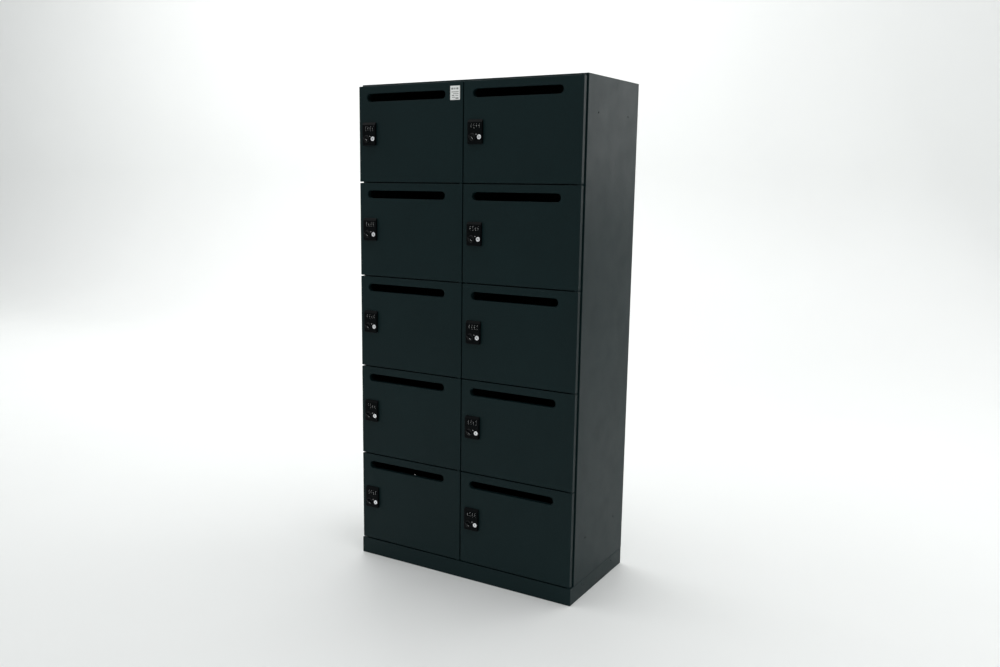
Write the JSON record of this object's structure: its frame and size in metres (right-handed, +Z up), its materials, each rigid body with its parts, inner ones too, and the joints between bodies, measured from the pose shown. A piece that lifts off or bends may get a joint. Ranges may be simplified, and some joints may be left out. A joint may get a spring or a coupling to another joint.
{
  "type": "parcel locker",
  "caption": "Free-standing sheet-steel parcel locker with hinged compartment doors, each with a mail slot, dial lock, turn knob and key cylinder, on a plinth.",
  "frame": {"origin": "centre of the base on the floor, in the middle of the plinth's footprint", "axes": "+Z up, the doors face -Y, +X to the right when facing the doors"},
  "size_m": [0.9, 0.47, 1.79],
  "materials": {
    "powder_coat": "satin powder coat, fine texture",
    "lock_black": "satin black moulding",
    "dial_black": "satin black wheels with pale digits",
    "knob_black": "semi-gloss black",
    "lock_chrome": "polished",
    "zinc_steel": "zinc plated, satin"
  },
  "bodies": {
    "carcass": {"side_panel_left": "powder_coat", "side_panel_right": "powder_coat", "centre_partition": "powder_coat", "top_panel": "powder_coat", "bottom_panel": "powder_coat", "back_panel": "powder_coat", "shelves": "powder_coat", "plinth": "powder_coat", "levelling_feet": "zinc_steel", "hinge_brackets": "powder_coat"},
    "door_l1": {"door_l1": "powder_coat", "lock_case_l1": "lock_black"},
    "dials_l1": {"lock_dials_l1": "dial_black"},
    "knob_l1": {"lock_knob_l1": "knob_black"},
    "cylinder_l1": {"key_cylinder_l1": "lock_chrome"},
    "door_l2": {"door_l2": "powder_coat", "lock_case_l2": "lock_black"},
    "dials_l2": {"lock_dials_l2": "dial_black"},
    "knob_l2": {"lock_knob_l2": "knob_black"},
    "cylinder_l2": {"key_cylinder_l2": "lock_chrome"},
    "door_l3": {"door_l3": "powder_coat", "lock_case_l3": "lock_black"},
    "dials_l3": {"lock_dials_l3": "dial_black"},
    "knob_l3": {"lock_knob_l3": "knob_black"},
    "cylinder_l3": {"key_cylinder_l3": "lock_chrome"},
    "door_l4": {"door_l4": "powder_coat", "lock_case_l4": "lock_black"},
    "dials_l4": {"lock_dials_l4": "dial_black"},
    "knob_l4": {"lock_knob_l4": "knob_black"},
    "cylinder_l4": {"key_cylinder_l4": "lock_chrome"},
    "door_l5": {"door_l5": "powder_coat", "lock_case_l5": "lock_black"},
    "dials_l5": {"lock_dials_l5": "dial_black"},
    "knob_l5": {"lock_knob_l5": "knob_black"},
    "cylinder_l5": {"key_cylinder_l5": "lock_chrome"},
    "door_r1": {"door_r1": "powder_coat", "lock_case_r1": "lock_black"},
    "dials_r1": {"lock_dials_r1": "dial_black"},
    "knob_r1": {"lock_knob_r1": "knob_black"},
    "cylinder_r1": {"key_cylinder_r1": "lock_chrome"},
    "door_r2": {"door_r2": "powder_coat", "lock_case_r2": "lock_black"},
    "dials_r2": {"lock_dials_r2": "dial_black"},
    "knob_r2": {"lock_knob_r2": "knob_black"},
    "cylinder_r2": {"key_cylinder_r2": "lock_chrome"},
    "door_r3": {"door_r3": "powder_coat", "lock_case_r3": "lock_black"},
    "dials_r3": {"lock_dials_r3": "dial_black"},
    "knob_r3": {"lock_knob_r3": "knob_black"},
    "cylinder_r3": {"key_cylinder_r3": "lock_chrome"},
    "door_r4": {"door_r4": "powder_coat", "lock_case_r4": "lock_black"},
    "dials_r4": {"lock_dials_r4": "dial_black"},
    "knob_r4": {"lock_knob_r4": "knob_black"},
    "cylinder_r4": {"key_cylinder_r4": "lock_chrome"},
    "door_r5": {"door_r5": "powder_coat", "lock_case_r5": "lock_black"},
    "dials_r5": {"lock_dials_r5": "dial_black"},
    "knob_r5": {"lock_knob_r5": "knob_black"},
    "cylinder_r5": {"key_cylinder_r5": "lock_chrome"}
  },
  "joints": [
    {"name": "door_hinge_l1", "type": "hinge", "parent": "carcass", "child": "door_l1", "pos_m": [-0.011, -0.217, 1.6125], "axis": [0, 0, 1], "range_deg": [0, 110]},
    {"name": "dial_spin_l1", "type": "hinge", "parent": "door_l1", "child": "dials_l1", "pos_m": [-0.393, -0.2245, 1.6325], "axis": [1, 0, 0], "continuous": true},
    {"name": "knob_turn_l1", "type": "hinge", "parent": "door_l1", "child": "knob_l1", "pos_m": [-0.406, -0.225, 1.596], "axis": [0, 1, 0], "range_deg": [0, 90]},
    {"name": "key_turn_l1", "type": "hinge", "parent": "door_l1", "child": "cylinder_l1", "pos_m": [-0.378, -0.225, 1.596], "axis": [0, 1, 0], "range_deg": [0, 90]},
    {"name": "door_hinge_l2", "type": "hinge", "parent": "carcass", "child": "door_l2", "pos_m": [-0.011, -0.217, 1.2685], "axis": [0, 0, 1], "range_deg": [0, 110]},
    {"name": "dial_spin_l2", "type": "hinge", "parent": "door_l2", "child": "dials_l2", "pos_m": [-0.393, -0.2245, 1.2885], "axis": [1, 0, 0], "continuous": true},
    {"name": "knob_turn_l2", "type": "hinge", "parent": "door_l2", "child": "knob_l2", "pos_m": [-0.406, -0.225, 1.252], "axis": [0, 1, 0], "range_deg": [0, 90]},
    {"name": "key_turn_l2", "type": "hinge", "parent": "door_l2", "child": "cylinder_l2", "pos_m": [-0.378, -0.225, 1.252], "axis": [0, 1, 0], "range_deg": [0, 90]},
    {"name": "door_hinge_l3", "type": "hinge", "parent": "carcass", "child": "door_l3", "pos_m": [-0.011, -0.217, 0.9245], "axis": [0, 0, 1], "range_deg": [0, 110]},
    {"name": "dial_spin_l3", "type": "hinge", "parent": "door_l3", "child": "dials_l3", "pos_m": [-0.393, -0.2245, 0.9445], "axis": [1, 0, 0], "continuous": true},
    {"name": "knob_turn_l3", "type": "hinge", "parent": "door_l3", "child": "knob_l3", "pos_m": [-0.406, -0.225, 0.908], "axis": [0, 1, 0], "range_deg": [0, 90]},
    {"name": "key_turn_l3", "type": "hinge", "parent": "door_l3", "child": "cylinder_l3", "pos_m": [-0.378, -0.225, 0.908], "axis": [0, 1, 0], "range_deg": [0, 90]},
    {"name": "door_hinge_l4", "type": "hinge", "parent": "carcass", "child": "door_l4", "pos_m": [-0.011, -0.217, 0.5805], "axis": [0, 0, 1], "range_deg": [0, 110]},
    {"name": "dial_spin_l4", "type": "hinge", "parent": "door_l4", "child": "dials_l4", "pos_m": [-0.393, -0.2245, 0.6005], "axis": [1, 0, 0], "continuous": true},
    {"name": "knob_turn_l4", "type": "hinge", "parent": "door_l4", "child": "knob_l4", "pos_m": [-0.406, -0.225, 0.564], "axis": [0, 1, 0], "range_deg": [0, 90]},
    {"name": "key_turn_l4", "type": "hinge", "parent": "door_l4", "child": "cylinder_l4", "pos_m": [-0.378, -0.225, 0.564], "axis": [0, 1, 0], "range_deg": [0, 90]},
    {"name": "door_hinge_l5", "type": "hinge", "parent": "carcass", "child": "door_l5", "pos_m": [-0.011, -0.217, 0.2365], "axis": [0, 0, 1], "range_deg": [0, 110]},
    {"name": "dial_spin_l5", "type": "hinge", "parent": "door_l5", "child": "dials_l5", "pos_m": [-0.393, -0.2245, 0.2565], "axis": [1, 0, 0], "continuous": true},
    {"name": "knob_turn_l5", "type": "hinge", "parent": "door_l5", "child": "knob_l5", "pos_m": [-0.406, -0.225, 0.22], "axis": [0, 1, 0], "range_deg": [0, 90]},
    {"name": "key_turn_l5", "type": "hinge", "parent": "door_l5", "child": "cylinder_l5", "pos_m": [-0.378, -0.225, 0.22], "axis": [0, 1, 0], "range_deg": [0, 90]},
    {"name": "door_hinge_r1", "type": "hinge", "parent": "carcass", "child": "door_r1", "pos_m": [0.437, -0.217, 1.6125], "axis": [0, 0, 1], "range_deg": [0, 110]},
    {"name": "dial_spin_r1", "type": "hinge", "parent": "door_r1", "child": "dials_r1", "pos_m": [0.055, -0.2245, 1.6325], "axis": [1, 0, 0], "continuous": true},
    {"name": "knob_turn_r1", "type": "hinge", "parent": "door_r1", "child": "knob_r1", "pos_m": [0.042, -0.225, 1.596], "axis": [0, 1, 0], "range_deg": [0, 90]},
    {"name": "key_turn_r1", "type": "hinge", "parent": "door_r1", "child": "cylinder_r1", "pos_m": [0.07, -0.225, 1.596], "axis": [0, 1, 0], "range_deg": [0, 90]},
    {"name": "door_hinge_r2", "type": "hinge", "parent": "carcass", "child": "door_r2", "pos_m": [0.437, -0.217, 1.2685], "axis": [0, 0, 1], "range_deg": [0, 110]},
    {"name": "dial_spin_r2", "type": "hinge", "parent": "door_r2", "child": "dials_r2", "pos_m": [0.055, -0.2245, 1.2885], "axis": [1, 0, 0], "continuous": true},
    {"name": "knob_turn_r2", "type": "hinge", "parent": "door_r2", "child": "knob_r2", "pos_m": [0.042, -0.225, 1.252], "axis": [0, 1, 0], "range_deg": [0, 90]},
    {"name": "key_turn_r2", "type": "hinge", "parent": "door_r2", "child": "cylinder_r2", "pos_m": [0.07, -0.225, 1.252], "axis": [0, 1, 0], "range_deg": [0, 90]},
    {"name": "door_hinge_r3", "type": "hinge", "parent": "carcass", "child": "door_r3", "pos_m": [0.437, -0.217, 0.9245], "axis": [0, 0, 1], "range_deg": [0, 110]},
    {"name": "dial_spin_r3", "type": "hinge", "parent": "door_r3", "child": "dials_r3", "pos_m": [0.055, -0.2245, 0.9445], "axis": [1, 0, 0], "continuous": true},
    {"name": "knob_turn_r3", "type": "hinge", "parent": "door_r3", "child": "knob_r3", "pos_m": [0.042, -0.225, 0.908], "axis": [0, 1, 0], "range_deg": [0, 90]},
    {"name": "key_turn_r3", "type": "hinge", "parent": "door_r3", "child": "cylinder_r3", "pos_m": [0.07, -0.225, 0.908], "axis": [0, 1, 0], "range_deg": [0, 90]},
    {"name": "door_hinge_r4", "type": "hinge", "parent": "carcass", "child": "door_r4", "pos_m": [0.437, -0.217, 0.5805], "axis": [0, 0, 1], "range_deg": [0, 110]},
    {"name": "dial_spin_r4", "type": "hinge", "parent": "door_r4", "child": "dials_r4", "pos_m": [0.055, -0.2245, 0.6005], "axis": [1, 0, 0], "continuous": true},
    {"name": "knob_turn_r4", "type": "hinge", "parent": "door_r4", "child": "knob_r4", "pos_m": [0.042, -0.225, 0.564], "axis": [0, 1, 0], "range_deg": [0, 90]},
    {"name": "key_turn_r4", "type": "hinge", "parent": "door_r4", "child": "cylinder_r4", "pos_m": [0.07, -0.225, 0.564], "axis": [0, 1, 0], "range_deg": [0, 90]},
    {"name": "door_hinge_r5", "type": "hinge", "parent": "carcass", "child": "door_r5", "pos_m": [0.437, -0.217, 0.2365], "axis": [0, 0, 1], "range_deg": [0, 110]},
    {"name": "dial_spin_r5", "type": "hinge", "parent": "door_r5", "child": "dials_r5", "pos_m": [0.055, -0.2245, 0.2565], "axis": [1, 0, 0], "continuous": true},
    {"name": "knob_turn_r5", "type": "hinge", "parent": "door_r5", "child": "knob_r5", "pos_m": [0.042, -0.225, 0.22], "axis": [0, 1, 0], "range_deg": [0, 90]},
    {"name": "key_turn_r5", "type": "hinge", "parent": "door_r5", "child": "cylinder_r5", "pos_m": [0.07, -0.225, 0.22], "axis": [0, 1, 0], "range_deg": [0, 90]}
  ]
}
